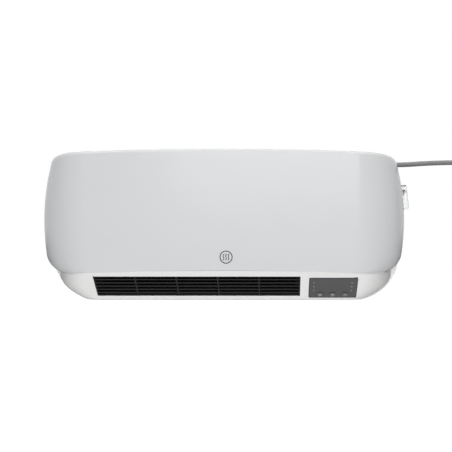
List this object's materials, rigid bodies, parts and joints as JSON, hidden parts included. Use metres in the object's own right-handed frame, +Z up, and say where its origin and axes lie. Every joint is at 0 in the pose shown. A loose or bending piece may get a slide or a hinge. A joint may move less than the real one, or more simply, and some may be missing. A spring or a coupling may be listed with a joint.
{
  "type": "wall fan heater",
  "caption": "Wide wall fan heater: curved glossy cover over a white lower frame with a slatted air outlet, key panel, side rocker switch and a coiled mains lead.",
  "frame": {"origin": "midway between the two keyholes, on the wall plane at the back of the rear housing", "axes": "+X to the right as the room sees it, +Y into the wall, +Z up"},
  "size_m": [0.6915, 0.1182, 0.1945],
  "materials": {
    "cover_plastic": "moulded, polished",
    "housing_plastic": "moulded",
    "grille_plastic": "moulded",
    "panel_plastic": "moulded, fine texture",
    "button_plastic": "moulded",
    "mark_ink": "pad-printed",
    "light_pipe": "clear moulded",
    "plunger_plastic": "moulded",
    "circuit_board": "solder-masked laminate",
    "black_plastic": "moulded",
    "blue_plastic": "moulded",
    "yellow_film": "dipped film",
    "fan_aluminium": "pressed",
    "galvanised_steel": "pressed, galvanised",
    "shaft_steel": "ground",
    "sintered_bronze": "sintered, oiled",
    "heater_fins": "bonded fins",
    "heater_cap_plastic": "glass-filled",
    "tab_brass": "stamped, tinned",
    "lamination_steel": "stacked laminations",
    "coil_tape": "taped winding",
    "screw_steel": "zinc plated",
    "switch_plastic": "moulded",
    "rocker_plastic": "moulded, translucent red",
    "boot_clear": "clear soft plastic",
    "cord_jacket": "extruded",
    "plug_rubber": "moulded on",
    "pin_nickel": "nickel plated",
    "tie_plastic": "moulded strap",
    "wire_jacket": "silicone sleeve"
  },
  "bodies": {
    "case": {"front_cover": "cover_plastic", "warm_air_mark": "mark_ink", "rear_housing": "housing_plastic", "case_screws": "screw_steel", "outlet_frame": "housing_plastic", "outlet_grille": "grille_plastic", "control_panel": "panel_plastic", "indicator_lights": "light_pipe", "display_board": "circuit_board", "tact_switches": "black_plastic", "bearing_bush": "sintered_bronze", "blower_scroll": "galvanised_steel", "blower_tongue": "galvanised_steel", "left_end_plate": "galvanised_steel", "right_end_plate": "galvanised_steel", "heater_core": "heater_fins", "heater_left_cap": "heater_cap_plastic", "heater_right_cap": "heater_cap_plastic", "heater_tabs": "tab_brass", "thermal_cutout": "tab_brass", "thermal_fuse": "tab_brass", "motor_stack": "lamination_steel", "motor_coil": "coil_tape", "motor_inner_bracket": "galvanised_steel", "motor_outer_bracket": "galvanised_steel", "motor_screws": "screw_steel", "power_board": "circuit_board", "board_screws": "screw_steel", "relays": "blue_plastic", "board_capacitor": "yellow_film", "terminal_block": "black_plastic", "rocker_switch": "switch_plastic", "switch_terminals": "tab_brass", "switch_boot": "boot_clear", "heater_leads": "wire_jacket", "motor_leads": "wire_jacket", "switch_leads": "wire_jacket", "lead_cores": "wire_jacket", "lead_sheath": "cord_jacket", "cord_gland": "plug_rubber", "cord_lead": "cord_jacket", "cord_coil": "cord_jacket", "cord_tail": "cord_jacket", "cord_tie": "tie_plastic", "plug_body": "plug_rubber", "plug_pins": "pin_nickel"},
    "fan": {"fan_drum": "fan_aluminium", "fan_shaft": "shaft_steel", "motor_rotor": "shaft_steel"},
    "rocker": {"rocker": "rocker_plastic"},
    "left_key": {"left_button": "button_plastic", "left_plunger": "plunger_plastic"},
    "middle_key": {"middle_button": "button_plastic", "middle_plunger": "plunger_plastic"},
    "right_key": {"right_button": "button_plastic", "right_plunger": "plunger_plastic"}
  },
  "joints": [
    {"name": "fan_spin", "type": "hinge", "parent": "case", "child": "fan", "pos_m": [0, -0.062, -0.032], "axis": [1, 0, 0], "continuous": true},
    {"name": "rocker_tilt", "type": "hinge", "parent": "case", "child": "rocker", "pos_m": [0.22523, -0.0445, -0.01634], "axis": [0, -1, 0], "range_deg": [0, 24]},
    {"name": "left_button_press", "type": "slide", "parent": "case", "child": "left_key", "axis": [0, 0.7071, 0.7071], "range_m": [0, 0.0005], "stiffness_N_per_m": 400},
    {"name": "middle_button_press", "type": "slide", "parent": "case", "child": "middle_key", "axis": [0, 0.7071, 0.7071], "range_m": [0, 0.0005], "stiffness_N_per_m": 400},
    {"name": "right_button_press", "type": "slide", "parent": "case", "child": "right_key", "axis": [0, 0.7071, 0.7071], "range_m": [0, 0.0005], "stiffness_N_per_m": 400}
  ]
}
